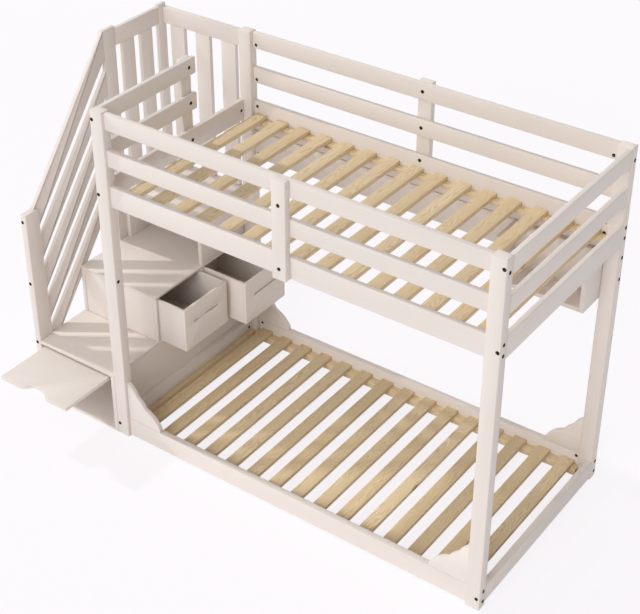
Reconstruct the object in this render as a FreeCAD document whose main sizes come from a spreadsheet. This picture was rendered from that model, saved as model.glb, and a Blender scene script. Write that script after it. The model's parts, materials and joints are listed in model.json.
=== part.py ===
# Bunk bed with storage stairs, in millimetres.
# X runs along the bed to the right, Y from the front to the rear, Z up.
# Places are given from the outer corner of the front left foot, and place()
# moves them so that the origin is the middle of that foot's underside. The
# bed posts stand on z = 0, and the stairs stand against the left end.
import FreeCAD, Part
import os
import re
import Sketcher
from FreeCAD import Placement, Rotation, Vector

os.makedirs("parts", exist_ok=True)
doc = FreeCAD.newDocument("bunk_bed")

# ---------------------------------------------------------------- sizes
SIZES = {
    # bed frame
    "bed_length": 2005,
    "bed_width": 1060,
    "bed_height": 1736,
    "post_width": 68,
    "post_depth": 50,
    "rail_thickness": 22,
    "rail_recess": 14,
    "rear_recess": 7,
    "guard_height": 80,
    "guard_drop": 3,
    "guard_gap": 97,
    "deck_gap": 96,
    "side_rail_height": 105,
    "rear_rail_height": 156,
    "lower_rail_thickness": 30,
    "lower_rail_top": 105,
    "lower_rail_foot": 7,
    "lower_end_foot": 18,
    "batten_width": 68,
    "batten_thickness": 32,
    "left_guard_length": 620,
    "left_batten_thickness": 22,
    "left_batten_overhang": 10,
    # slats and the cleats that carry them
    "slat_count": 15,
    "slat_width": 63,
    "slat_thickness": 20,
    "cleat_depth": 34,
    "cleat_height": 25,
    "lower_cleat_depth": 41,
    "lower_cleat_height": 36,
    "lower_cleat_foot": 6,
    "end_cleat_depth": 28,
    "wood_clearance": 1,
    # cloud-shaped corner brackets
    "bracket_length": 190,
    "bracket_height": 212,
    "bracket_toe": 18,
    # rear board and shelf box below the upper deck
    "rear_board_height": 150,
    "rear_board_gap": 5,
    "shelf_length": 440,
    "shelf_depth": 165,
    "shelf_drop": 79,
    "shelf_board": 22,
    # stairs
    "stair_width": 487,
    "board": 22,
    "tread_depth": 325,
    "tread_thickness": 18,
    "floor_thickness": 12,
    "first_rise": 340,
    "second_rise": 260,
    "landing_rise": 270,
    "landing_front": 651,
    "platform_thickness": 14,
    "cubby_side_inset": 22,
    "riser_inset": 2,
    "riser_thickness": 10,
    # drawers under the platform
    "drawer_first_stile": 12,
    "drawer_middle_stile": 26,
    "drawer_rear_stile": 53,
    "drawer_height": 241,
    "drawer_length": 440,
    "drawer_front": 14,
    "drawer_wall": 12,
    "drawer_bottom": 6,
    "drawer_gap": 3,
    "drawer_slide_gap": 0.3,
    "drawer_one_pulled": 165,
    "drawer_two_pulled": 257,
    "slot_length": 180,
    "slot_height": 12,
    "slot_drop": 88,
    # compartment door and its hidden pins
    "flap_thickness": 18,
    "flap_side_gap": 11,
    "flap_foot_gap": 1.5,
    "flap_lap": 8,
    "notch_flat": 30,
    "notch_flare": 77,
    "notch_depth": 41,
    "pin_inset": 5,
    "pin_drop": 13.5,
    "pin_radius": 2.5,
    "pin_clearance": 0.2,
    "pin_hold": 10,
    # guards beside the stairs
    "newel_width": 34,
    "newel_depth": 84,
    "newel_height": 1045,
    "newel_lip": 20,
    "guard_post_width": 80,
    "guard_post_front": 615,
    "guard_post_rise": 5,
    "corner_post_width": 56,
    "guard_slope_ratio": 1.26,
    "bar_count": 4,
    "bar_height": 109,
    "bar_pitch": 176,
    "first_bar": 229,
    "top_rail_foot": 937,
    "top_rail_height": 135,
    "landing_rail_height": 86,
    "landing_rail_drop": 10,
    "landing_slat_width": 80,
    "landing_slat_lap": 100,
    "rear_panel_drop": 16,
    "rear_panel_rail": 84,
    "rear_slat_width": 86,
    "rear_slat_margin": 43,
    # fasteners
    "bolt_radius": 3,
    "bolt_clearance": 0.5,
    "bolt_head_radius": 8,
    "bolt_head_height": 2.5,
    "bolt_socket_radius": 3.2,
    "bolt_socket_depth": 1.8,
    "bolt_grip": 30,
    "bolt_edge": 27,
    "low_bolt_edge": 14,
    "bolt_stagger": 22,
    "batten_bolt_drop": 111,
    "nut_radius": 5,
    "nut_length": 18,
    "nut_setback": 10,
    "nut_clearance": 0.2,
}

sheet = doc.addObject("Spreadsheet::Sheet", "sizes")
for row, (alias, value) in enumerate(SIZES.items(), start=1):
    sheet.set(f"A{row}", alias)
    sheet.set(f"B{row}", str(value))
    sheet.setAlias(f"B{row}", alias)
doc.recompute()


def bound(text):
    """Turn plain words in an expression into references to the sheet."""
    return re.sub(r"[a-z][a-z_0-9]*", lambda word: "sizes." + word.group(0), str(text))


def value(text):
    """Number that an expression of sheet words has now."""
    return float(sheet.evalExpression(str(text)))


# ------------------------------------------------- levels and lines
# Each one is an expression of sheet words.
INNER_LENGTH = "(bed_length - 2*post_width)"
INNER_WIDTH = "(bed_width - 2*post_depth)"
RIGHT_POST_X = "(bed_length - post_width)"
REAR_POST_Y = "(bed_width - post_depth)"
FRONT_RAIL_Y = "rail_recess"
REAR_RAIL_Y = "(bed_width - rear_recess - rail_thickness)"
FRONT_INNER_Y = "(rail_recess + rail_thickness)"
LOWER_FRONT_INNER_Y = "(rail_recess + lower_rail_thickness)"
LOWER_REAR_RAIL_Y = "(bed_width - lower_rail_thickness)"
GUARD_TOP_Z = "(bed_height - guard_drop - guard_height)"
GUARD_MID_Z = f"({GUARD_TOP_Z} - guard_gap - guard_height)"
DECK_RAIL_TOP_Z = f"({GUARD_MID_Z} - deck_gap)"
DECK_RAIL_Z = f"({DECK_RAIL_TOP_Z} - side_rail_height)"
REAR_RAIL_Z = f"({DECK_RAIL_TOP_Z} - rear_rail_height)"
BATTEN_HEIGHT = f"({GUARD_TOP_Z} + guard_height - {DECK_RAIL_Z})"
BATTEN_X = "(bed_length/2 - batten_width/2)"
LEFT_BATTEN_Y = "(post_depth + left_guard_length - left_batten_overhang - batten_width)"
REAR_BOARD_TOP_Z = f"({REAR_RAIL_Z} - rear_board_gap)"
REAR_BOARD_Z = f"({REAR_BOARD_TOP_Z} - rear_board_height)"
SHELF_Z = f"({REAR_BOARD_Z} - shelf_drop)"
SHELF_X = f"({RIGHT_POST_X} - shelf_length)"
SHELF_Y = f"({REAR_RAIL_Y} - shelf_depth)"
SHELF_HEIGHT = f"({REAR_BOARD_TOP_Z} - {SHELF_Z})"
RIGHT_RAIL_X = "(bed_length - rail_thickness)"
LOWER_RIGHT_RAIL_X = "(bed_length - lower_rail_thickness)"
LOWER_RAIL_HEIGHT = "(lower_rail_top - lower_rail_foot)"
LOWER_END_HEIGHT = "(lower_rail_top - lower_end_foot)"

STAIR_X = "(0 - stair_width)"
STAIR_INNER_X = "(board - stair_width)"
STAIR_INNER_WIDTH = "(stair_width - 2*board)"
GUARD_X = "(0 - stair_width - board)"
PLATFORM_Z = "(first_rise + second_rise)"
LANDING_Z = f"({PLATFORM_Z} + landing_rise)"
PLATFORM_DEPTH = "(bed_width - tread_depth)"
STAIR_BACK_Y = "(bed_width - board)"
RISER_Y = "(tread_depth + riser_inset)"
RISER_REAR_Y = f"({RISER_Y} + riser_thickness)"
DRAWER_Z = f"({PLATFORM_Z} - platform_thickness - drawer_height)"
DRAWER_ONE_Y = "(tread_depth + drawer_first_stile)"
DRAWER_STILES = "(drawer_first_stile + drawer_middle_stile + drawer_rear_stile)"
DRAWER_WIDTH = f"((bed_width - tread_depth - {DRAWER_STILES}) / 2)"
DRAWER_TWO_Y = f"({DRAWER_ONE_Y} + {DRAWER_WIDTH} + drawer_middle_stile)"
CUBBY_FRONT_Y = "(landing_front + cubby_side_inset)"
CUBBY_HEIGHT = "(landing_rise - board)"
GUARD_POST_REAR_Y = "(guard_post_front + guard_post_width)"
LANDING_RAIL_Z = "(bed_height - landing_rail_drop - landing_rail_height)"
REAR_PANEL_RAIL_Z = "(bed_height - rear_panel_drop - rear_panel_rail)"
CORNER_POST_Y = "(bed_width - corner_post_width)"

TREAD_UNDER = "(first_rise - tread_thickness)"
PLATFORM_UNDER = f"({PLATFORM_Z} - platform_thickness)"
PIN_Z = f"({TREAD_UNDER} - pin_drop)"
FLAP_REACH = f"({PIN_Z} - floor_thickness - flap_foot_gap)"


# ------------------------------------------------------- small makers
def place(thing, x, y, z):
    """Bind the place of an object, given from the foot's corner, to sheet words."""
    thing.setExpression("Placement.Base.x", bound(f"{x} - post_width/2"))
    thing.setExpression("Placement.Base.y", bound(f"{y} - post_depth/2"))
    thing.setExpression("Placement.Base.z", bound(z))


def board(label, x, y, z, length, depth, height):
    """Rectangular board: its low corner, then its size along X, Y and Z."""
    box = doc.addObject("Part::Box", label)
    box.setExpression("Length", bound(length))
    box.setExpression("Width", bound(depth))
    box.setExpression("Height", bound(height))
    place(box, x, y, z)
    return box


def group(label, pieces):
    """Separate solids of one kind under one name."""
    compound = doc.addObject("Part::Compound", label)
    compound.Links = pieces
    return compound


# Rotations that turn a cylinder's own axis, +Z, to each direction.
TURNS = {
    "+X": Rotation(Vector(0, 1, 0), 90),
    "-X": Rotation(Vector(0, 1, 0), -90),
    "+Y": Rotation(Vector(1, 0, 0), -90),
    "-Y": Rotation(Vector(1, 0, 0), 90),
}
OPPOSITE = {"+X": "-X", "-X": "+X", "+Y": "-Y", "-Y": "+Y"}


def along(point, direction, distance):
    """Point moved by a distance along a direction, as expressions."""
    x, y, z = point
    sign = direction[0]
    if direction[1] == "X":
        return (f"({x} {sign} ({distance}))", y, z)
    return (x, f"({y} {sign} ({distance}))", z)


def rod(label, point, direction, radius, length):
    """Cylinder that starts at a point and runs in a direction."""
    cylinder = doc.addObject("Part::Cylinder", label)
    cylinder.Placement = Placement(Vector(0, 0, 0), TURNS[direction])
    cylinder.setExpression("Radius", bound(radius))
    cylinder.setExpression("Height", bound(length))
    place(cylinder, *point)
    return cylinder


def cut(label, base, tool):
    """Base with the tool's volume taken out."""
    result = doc.addObject("Part::Cut", label)
    result.Base = base
    result.Tool = tool
    return result


def origin_plane(body, role):
    """Origin plane of a body, found by its role."""
    return [f for f in body.Origin.OriginFeatures if f.Role == role][0]


def padded_outline(label, plane, corners, thickness, lobes=None, hollows=None):
    """Body padded from a closed outline, drawn anticlockwise.

    corners are (across, up) pairs of expressions. lobes gives, for the number
    of a side, the radius with which that side bulges outwards, and hollows the
    radius with which a side curves inwards.
    """
    lobes = lobes or {}
    hollows = hollows or {}
    curves = {**lobes, **hollows}
    body = doc.addObject("PartDesign::Body", label)
    sketch = body.newObject("Sketcher::SketchObject", label + "_outline")
    sketch.AttachmentSupport = [(origin_plane(body, plane), "")]
    sketch.MapMode = "FlatFace"
    points = [Vector(value(across), value(up), 0) for across, up in corners]
    count = len(points)
    for i, start in enumerate(points):
        end = points[(i + 1) % count]
        if i in curves:
            half = (end - start) * 0.5
            radius = value(curves[i])
            rise = radius - (radius**2 - half.Length**2) ** 0.5
            outward = Vector(half.y, -half.x, 0).normalize() * (rise if i in lobes else -rise)
            sketch.addGeometry(Part.Arc(start, start + half + outward, end), False)
        else:
            sketch.addGeometry(Part.LineSegment(start, end), False)
    # A sketch keeps its arcs anticlockwise, so a hollow side starts at its second point.
    first = [2 if i in hollows else 1 for i in range(count)]
    for i in range(count):
        following = (i + 1) % count
        sketch.addConstraint(Sketcher.Constraint("Coincident", i, 3 - first[i], following, first[following]))
    for i, (across, up) in enumerate(corners):
        for name, kind, text in ((f"across_{i}", "DistanceX", across), (f"up_{i}", "DistanceY", up)):
            number = sketch.addConstraint(Sketcher.Constraint(kind, -1, 1, i, first[i], value(text)))
            sketch.renameConstraint(number, name)
            sketch.setExpression(f"Constraints.{name}", bound(text))
    for i, radius in curves.items():
        number = sketch.addConstraint(Sketcher.Constraint("Radius", i, value(radius)))
        sketch.renameConstraint(number, f"curve_{i}")
        sketch.setExpression(f"Constraints.curve_{i}", bound(radius))
    pad = body.newObject("PartDesign::Pad", label + "_pad")
    pad.Profile = sketch
    pad.setExpression("Length", bound(thickness))
    body.Tip = pad
    return body


# ------------------------------------------------------------ fasteners
bolts = []
nuts = []
drills = {}


def drill(labels, point, direction, radius, length):
    """Drill for the named nodes; it starts just outside a face, for a clean mouth."""
    outside = along(point, OPPOSITE[direction], "wood_clearance")
    cutter = rod("drill", outside, direction, radius, f"{length} + wood_clearance")
    for label in labels:
        drills.setdefault(label, []).append(cutter)


def bolt(outer, inner, point, direction, length, nut_mouth=None, nut_direction=None):
    """Flat-headed connector bolt, sunk flush into the outer node's face at point.

    It passes through the outer node into the inner one, or ends in the outer
    one where both are the same, and length is measured from the face. With a
    nut, nut_mouth is the point on the inner node's face where the nut's hole
    starts, and nut_direction its way in.
    """
    head_foot = along(point, direction, "bolt_head_height")
    shank = rod("shank", head_foot, direction, "bolt_radius", f"{length} - bolt_head_height")
    head = rod("head", point, direction, "bolt_head_radius", "bolt_head_height")
    socket = doc.addObject("Part::Prism", "socket")
    socket.Polygon = 6
    socket.Placement = Placement(Vector(0, 0, 0), TURNS[direction])
    socket.setExpression("Circumradius", bound("bolt_socket_radius"))
    socket.setExpression("Height", bound("bolt_socket_depth"))
    place(socket, *point)
    fused = doc.addObject("Part::Fuse", "bolt_blank")
    fused.Base = head
    fused.Tool = shank
    bolts.append(cut("connector_bolt", fused, socket))
    shank_length = f"{length} + bolt_clearance"
    drill(sorted({outer, inner}), point, direction, "bolt_radius + bolt_clearance", shank_length)
    drill([outer], point, direction, "bolt_head_radius + bolt_clearance", "bolt_head_height")
    if nut_mouth:
        blank = rod("nut_blank", nut_mouth, nut_direction, "nut_radius", "nut_length")
        bore_length = f"{length} + nut_radius"
        thread = rod("nut_thread", point, direction, "bolt_radius + nut_clearance", bore_length)
        nuts.append(cut("barrel_nut", blank, thread))
        drill([inner], nut_mouth, nut_direction, "nut_radius + nut_clearance", "nut_length + nut_clearance")


# Level of each bolt along X, with the board that it holds at the front or rear.
GUARD_CENTRE_Z = f"{GUARD_TOP_Z} + guard_height/2"
GUARD_MID_CENTRE_Z = f"{GUARD_MID_Z} + guard_height/2"
GUARD_BOLT_LEVEL = (f"{GUARD_CENTRE_Z} - bolt_stagger", "guard_rails")
MID_BOLT_LEVEL = (f"{GUARD_MID_CENTRE_Z} - bolt_stagger", "guard_rails")
DECK_BOLT_LEVELS = [
    (f"{DECK_RAIL_TOP_Z} - bolt_edge", "upper_side_rail"),
    (f"{DECK_RAIL_Z} + bolt_edge", "upper_side_rail"),
]
LOWER_BOLT_LEVELS = [
    ("lower_rail_top - low_bolt_edge", "lower_side_rail"),
    ("lower_rail_foot + bolt_edge", "lower_side_rail"),
]
REAR_BOARD_LEVELS = [
    (f"{REAR_BOARD_TOP_Z} - bolt_edge/2", "board"),
    (f"{REAR_BOARD_Z} + bolt_edge", "board"),
]
# The same for the bolts along Y, with the board that they hold at an end.
END_BOLT_LEVELS = [
    (GUARD_CENTRE_Z, "guard_rails"),
    (f"{DECK_RAIL_Z} + side_rail_height/2", "upper_end_rail"),
    (f"lower_end_foot + {LOWER_END_HEIGHT}/2", "lower_end_rail"),
]
SIDE_BOLT_LENGTH = "post_width + bolt_grip"
END_BOLT_LENGTH = "post_depth + bolt_grip"
SIDE_NUT_DEPTH = "post_width + bolt_grip - nut_setback"
END_NUT_DEPTH = "post_depth + bolt_grip - nut_setback"


def side_bolts(side, end, levels, rail_y, thickness, inner_y, nut_way):
    """Bolts along X, through a post into the boards of one thickness on a side."""
    outer_x, into = ("0", "+X") if end == "left" else ("bed_length", "-X")
    for level, part in levels:
        held = f"{part}_{side}" if "side_rail" in part else f"{side}_{part}"
        mouth = along((outer_x, inner_y, level), into, SIDE_NUT_DEPTH)
        seat = (outer_x, f"{rail_y} + {thickness}/2", level)
        bolt(f"post_{side}_{end}", held, seat, into, SIDE_BOLT_LENGTH, mouth, nut_way)


# Only at their left ends are the middle guard boards bolted.
for end in ("left", "right"):
    levels = [GUARD_BOLT_LEVEL] + DECK_BOLT_LEVELS
    levels += [MID_BOLT_LEVEL] if end == "left" else []
    side_bolts("front", end, levels, FRONT_RAIL_Y, "rail_thickness", FRONT_INNER_Y, "-Y")
    rear_levels = levels + REAR_BOARD_LEVELS
    side_bolts("rear", end, rear_levels, REAR_RAIL_Y, "rail_thickness", REAR_RAIL_Y, "+Y")
    lower_sizes = (FRONT_RAIL_Y, "lower_rail_thickness", LOWER_FRONT_INNER_Y, "-Y")
    side_bolts("front", end, LOWER_BOLT_LEVELS, *lower_sizes)
    lower_sizes = (LOWER_REAR_RAIL_Y, "lower_rail_thickness", LOWER_REAR_RAIL_Y, "+Y")
    side_bolts("rear", end, LOWER_BOLT_LEVELS, *lower_sizes)

# Bolts along Y, through each post into the end rails.
for side, outer_y, into in (("front", "0", "+Y"), ("rear", "bed_width", "-Y")):
    for end in ("left", "right"):
        for level, part in END_BOLT_LEVELS:
            if end == "left" and side == "rear" and part == "guard_rails":
                continue
            thickness = "lower_rail_thickness" if part == "lower_end_rail" else "rail_thickness"
            if end == "left":
                rail_x, mouth_x, nut_way = "0", thickness, "-X"
            else:
                rail_x = LOWER_RIGHT_RAIL_X if part == "lower_end_rail" else RIGHT_RAIL_X
                mouth_x, nut_way = rail_x, "+X"
            held = f"{part}_{end}" if "end_rail" in part else f"{end}_{part}"
            seat = (f"{rail_x} + {thickness}/2", outer_y, level)
            mouth = along((mouth_x, outer_y, level), into, END_NUT_DEPTH)
            bolt(f"post_{side}_{end}", held, seat, into, END_BOLT_LENGTH, mouth, nut_way)

# Bolts through the boards into the battens that tie them together.
BATTEN_BOLT_LENGTH = "batten_thickness + rail_thickness - nut_radius"
LEFT_BOLT_LENGTH = "left_batten_thickness + rail_thickness - nut_radius"
BATTEN_FACE_Y = "(rail_recess - batten_thickness)"
for level in (GUARD_CENTRE_Z, GUARD_MID_CENTRE_Z):
    front_seat = ("bed_length/2", FRONT_INNER_Y, level)
    bolt("front_guard_rails", "front_centre_batten", front_seat, "-Y", BATTEN_BOLT_LENGTH)
    rear_seat = ("bed_length/2", REAR_RAIL_Y, level)
    bolt("rear_guard_rails", "rear_centre_batten", rear_seat, "+Y", BATTEN_BOLT_LENGTH)
rear_deck_seat = ("bed_length/2", REAR_RAIL_Y, f"{DECK_RAIL_TOP_Z} - bolt_edge")
bolt("upper_side_rail_rear", "rear_centre_batten", rear_deck_seat, "+Y", BATTEN_BOLT_LENGTH)
front_deck_seat = ("bed_length/2", BATTEN_FACE_Y, f"{DECK_RAIL_Z} + side_rail_height/2")
bolt("front_centre_batten", "upper_side_rail_front", front_deck_seat, "+Y", BATTEN_BOLT_LENGTH)
spare_seat = ("bed_length/2", BATTEN_FACE_Y, f"{GUARD_TOP_Z} + guard_height - batten_bolt_drop")
spare_length = "batten_thickness - nut_radius"
bolt("front_centre_batten", "front_centre_batten", spare_seat, "+Y", spare_length)
for level, board_name in (
    (GUARD_CENTRE_Z, "left_guard_rails"),
    (GUARD_MID_CENTRE_Z, "left_guard_rails"),
    (f"{DECK_RAIL_Z} + side_rail_height/2", "upper_end_rail_left"),
):
    left_seat = ("rail_thickness", f"{LEFT_BATTEN_Y} + batten_width/2", level)
    bolt(board_name, "left_guard_batten", left_seat, "-X", LEFT_BOLT_LENGTH)

# Bolts along Y, through the newel post into the rail and bars behind it.
NEWEL_BOLTS = [
    ("first_bar + bar_height - bolt_edge/2", "guard_bars"),
    ("first_bar + 2*bar_pitch + bar_height - bolt_edge", "guard_bars"),
    ("top_rail_foot + top_rail_height/2", "sloped_top_rail"),
]
for level, held in NEWEL_BOLTS:
    bolt("newel_post", held, (f"{GUARD_X} + board/2", "0", level), "+Y", "newel_depth + bolt_grip")

# Hidden hinge pins of the compartment door: the left one stands in the newel
# post and the right one in the side panel.
FLAP_X = f"({STAIR_INNER_X} + flap_side_gap)"
FLAP_RIGHT_X = "(0 - board - flap_side_gap)"
NEWEL_INNER_X = f"({GUARD_X} + newel_width)"
LEFT_PIN = (f"({NEWEL_INNER_X} - pin_hold)", "pin_inset", PIN_Z)
RIGHT_PIN = (f"({FLAP_RIGHT_X} - pin_hold)", "pin_inset", PIN_Z)
LEFT_PIN_LENGTH = f"({FLAP_X} + 2*pin_hold - {NEWEL_INNER_X})"
RIGHT_PIN_LENGTH = "(flap_side_gap + 2*pin_hold)"
pins = [
    rod("left_hinge_pin", LEFT_PIN, "+X", "pin_radius", LEFT_PIN_LENGTH),
    rod("right_hinge_pin", RIGHT_PIN, "+X", "pin_radius", RIGHT_PIN_LENGTH),
]
for label, mouth, direction in (
    ("newel_post", (NEWEL_INNER_X, "pin_inset", PIN_Z), "-X"),
    ("compartment_door", (FLAP_X, "pin_inset", PIN_Z), "+X"),
    ("compartment_door", (FLAP_RIGHT_X, "pin_inset", PIN_Z), "-X"),
    ("stair_side_right", ("(0 - board)", "pin_inset", PIN_Z), "+X"),
):
    drill([label], mouth, direction, "pin_radius + pin_clearance", "pin_hold + pin_clearance")

nodes = [group("frame_bolts", bolts), group("barrel_nuts", nuts)]


def drilled(label, base):
    """Node with the holes that its own fasteners need."""
    nodes.append(cut(label, base, group(label + "_drills", drills[label])))


# ------------------------------------------------------------ bed frame
def post(label, x, y):
    """Corner post: a rectangle padded to full height, with its bolt holes."""
    body = padded_outline(
        label + "_blank",
        "XY_Plane",
        [("0", "0"), ("post_width", "0"), ("post_width", "post_depth"), ("0", "post_depth")],
        "bed_height",
    )
    place(body, x, y, "0")
    drilled(label, body)


post("post_front_left", "0", "0")
post("post_front_right", RIGHT_POST_X, "0")
post("post_rear_left", "0", REAR_POST_Y)
post("post_rear_right", RIGHT_POST_X, REAR_POST_Y)


def side_board(label, y, z, height):
    """Board between two posts along the bed."""
    return board(label, "post_width", y, z, INNER_LENGTH, "rail_thickness", height)


for side, rail_y, low_y in (("front", FRONT_RAIL_Y, FRONT_RAIL_Y), ("rear", REAR_RAIL_Y, LOWER_REAR_RAIL_Y)):
    guards = [
        side_board(f"{side}_guard_{name}", rail_y, level, "guard_height")
        for name, level in (("top", GUARD_TOP_Z), ("mid", GUARD_MID_Z))
    ]
    drilled(f"{side}_guard_rails", group(f"{side}_guard_boards", guards))
    low_board = board(
        f"{side}_lower_board",
        "post_width",
        low_y,
        "lower_rail_foot",
        INNER_LENGTH,
        "lower_rail_thickness",
        LOWER_RAIL_HEIGHT,
    )
    drilled(f"lower_side_rail_{side}", low_board)

front_deck_board = side_board("front_deck_board", FRONT_RAIL_Y, DECK_RAIL_Z, "side_rail_height")
drilled("upper_side_rail_front", front_deck_board)
rear_deck_board = side_board("rear_deck_board", REAR_RAIL_Y, REAR_RAIL_Z, "rear_rail_height")
drilled("upper_side_rail_rear", rear_deck_board)


def end_board(label, x, z, length, height):
    """Board across an end of the bed, from the front post."""
    return board(label, x, "post_depth", z, "rail_thickness", length, height)


for side, rail_x, length in (("left", "0", "left_guard_length"), ("right", RIGHT_RAIL_X, INNER_WIDTH)):
    guards = [
        end_board(f"{side}_guard_{name}", rail_x, level, length, "guard_height")
        for name, level in (("top", GUARD_TOP_Z), ("mid", GUARD_MID_Z))
    ]
    drilled(f"{side}_guard_rails", group(f"{side}_guard_boards", guards))
    deck_board = end_board(f"{side}_deck_board", rail_x, DECK_RAIL_Z, INNER_WIDTH, "side_rail_height")
    drilled(f"upper_end_rail_{side}", deck_board)

for side, rail_x in (("left", "0"), ("right", LOWER_RIGHT_RAIL_X)):
    low_board = board(
        f"{side}_low_board",
        rail_x,
        "post_depth",
        "lower_end_foot",
        "lower_rail_thickness",
        INNER_WIDTH,
        LOWER_END_HEIGHT,
    )
    drilled(f"lower_end_rail_{side}", low_board)

# Battens stand outside the guard boards and reach down to the deck rail.
for side, y in (("front", "rail_recess - batten_thickness"), ("rear", f"{REAR_RAIL_Y} + rail_thickness")):
    upright = board(
        f"{side}_batten_blank", BATTEN_X, y, DECK_RAIL_Z, "batten_width", "batten_thickness", BATTEN_HEIGHT
    )
    drilled(f"{side}_centre_batten", upright)
left_upright = board(
    "left_batten_blank",
    "0 - left_batten_thickness",
    LEFT_BATTEN_Y,
    DECK_RAIL_Z,
    "left_batten_thickness",
    "batten_width",
    BATTEN_HEIGHT,
)
drilled("left_guard_batten", left_upright)

# Slats rest on the cleats. One gap, that which spaces the lower slats evenly
# between the end rails, spaces both decks, counted from the left end rail.
SLAT_GAP = "((bed_length - 2*lower_rail_thickness - slat_count*slat_width) / (slat_count + 1))"


def deck(name, end_rail, front_y, rear_y, foot_z, cleat_depth, cleat_height, end_cleats):
    """Cleats and slats between the side rails' inner faces."""
    cleats = [
        board(f"{name}_cleat_{side}", "post_width", y, foot_z, INNER_LENGTH, cleat_depth, cleat_height)
        for side, y in (("front", front_y), ("rear", f"{rear_y} - {cleat_depth}"))
    ]
    nodes.append(group(f"{name}_slat_cleats", cleats + end_cleats))
    slats = [
        board(
            f"{name}_slat_{i + 1:02d}",
            f"{end_rail} + {SLAT_GAP} + {i}*(slat_width + {SLAT_GAP})",
            f"{front_y} + wood_clearance",
            f"{foot_z} + {cleat_height}",
            "slat_width",
            f"{rear_y} - {front_y} - 2*wood_clearance",
            "slat_thickness",
        )
        for i in range(int(value("slat_count")))
    ]
    nodes.append(group(f"{name}_slats", slats))


end_cleats = [
    board(
        f"lower_cleat_{side}",
        x,
        "post_depth",
        "lower_cleat_foot",
        "end_cleat_depth",
        INNER_WIDTH,
        "lower_cleat_height",
    )
    for side, x in (("left", "lower_rail_thickness"), ("right", f"{LOWER_RIGHT_RAIL_X} - end_cleat_depth"))
]
deck("upper", "rail_thickness", FRONT_INNER_Y, REAR_RAIL_Y, DECK_RAIL_Z, "cleat_depth", "cleat_height", [])
deck(
    "lower",
    "lower_rail_thickness",
    LOWER_FRONT_INNER_Y,
    LOWER_REAR_RAIL_Y,
    "lower_cleat_foot",
    "lower_cleat_depth",
    "lower_cleat_height",
    end_cleats,
)

# Cloud brackets stand on the lower side rails, against the posts: three
# lobes step down from the post to the toe.
BRACKET_OUTLINE = [
    ("0", "0"),
    ("bracket_length", "0"),
    ("bracket_length", "bracket_toe"),
    ("bracket_length*0.54", "bracket_height*0.46"),
    ("bracket_length*0.30", "bracket_height*0.70"),
    ("0", "bracket_height"),
]
BRACKET_LOBES = {2: "bracket_length*0.85", 3: "bracket_length*0.80", 4: "bracket_length*0.60"}
brackets = []
for side, rail_y in (("front", FRONT_RAIL_Y), ("rear", REAR_RAIL_Y)):
    for end, turn, x, y in (
        ("left", 0, "post_width", f"{rail_y} + rail_thickness"),
        ("right", 180, RIGHT_POST_X, rail_y),
    ):
        bracket = padded_outline(
            f"{side}_{end}_bracket", "XZ_Plane", BRACKET_OUTLINE, "rail_thickness", BRACKET_LOBES
        )
        bracket.Placement = Placement(Vector(0, 0, 0), Rotation(Vector(0, 0, 1), turn))
        place(bracket, x, y, "lower_rail_top")
        brackets.append(bracket)
nodes.append(group("lower_corner_brackets", brackets))

# Rear board below the upper deck, and the open shelf box in its right corner.
drilled("rear_board", side_board("rear_board_blank", REAR_RAIL_Y, REAR_BOARD_Z, "rear_board_height"))
SHELF_BACK_Y = f"({REAR_RAIL_Y} - shelf_board)"
SHELF_INNER_LENGTH = "(shelf_length - 2*shelf_board)"
nodes.append(
    board(
        "shelf_back",
        f"{SHELF_X} + shelf_board",
        SHELF_BACK_Y,
        SHELF_Z,
        SHELF_INNER_LENGTH,
        "shelf_board",
        SHELF_HEIGHT,
    )
)
nodes.append(
    board(
        "shelf_bottom",
        f"{SHELF_X} + shelf_board",
        SHELF_Y,
        SHELF_Z,
        SHELF_INNER_LENGTH,
        "shelf_depth - shelf_board",
        "shelf_board",
    )
)
shelf_ends = [
    board(f"shelf_end_{end}", x, SHELF_Y, SHELF_Z, "shelf_board", "shelf_depth", SHELF_HEIGHT)
    for end, x in (("left", SHELF_X), ("right", f"{RIGHT_POST_X} - shelf_board"))
]
nodes.append(group("shelf_ends", shelf_ends))


# --------------------------------------------------------- storage stairs
def stair_side(label, x, corners):
    """Side panel of the stairs, from its outline in depth and height."""
    panel = padded_outline(label, "YZ_Plane", corners, "board")
    place(panel, x, "0", "0")
    return panel


left_corners = [
    ("newel_depth", "0"),
    ("bed_width", "0"),
    ("bed_width", PLATFORM_UNDER),
    ("tread_depth", PLATFORM_UNDER),
    ("tread_depth", TREAD_UNDER),
    ("newel_depth", TREAD_UNDER),
]
right_corners = [
    ("0", "0"),
    ("bed_width", "0"),
    ("bed_width", DRAWER_Z),
    ("tread_depth", DRAWER_Z),
    ("tread_depth", TREAD_UNDER),
    ("0", TREAD_UNDER),
]
nodes.append(stair_side("stair_side_left", STAIR_X, left_corners))
drilled("stair_side_right", stair_side("stair_side_right_blank", "0 - board", right_corners))

STILES = [
    ("tread_depth", "drawer_first_stile"),
    (f"{DRAWER_ONE_Y} + {DRAWER_WIDTH}", "drawer_middle_stile"),
    (f"{DRAWER_TWO_Y} + {DRAWER_WIDTH}", "drawer_rear_stile"),
]
stiles = [
    board(f"drawer_stile_{i + 1}", "0 - board", y, DRAWER_Z, "board", width, "drawer_height")
    for i, (y, width) in enumerate(STILES)
]
nodes.append(group("drawer_stiles", stiles))


def stair_shelf(label, y, z, depth, height, x=STAIR_INNER_X, width=STAIR_INNER_WIDTH):
    """Board of the stairs, by default between the side panels."""
    return board(label, x, y, z, width, depth, height)


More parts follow.
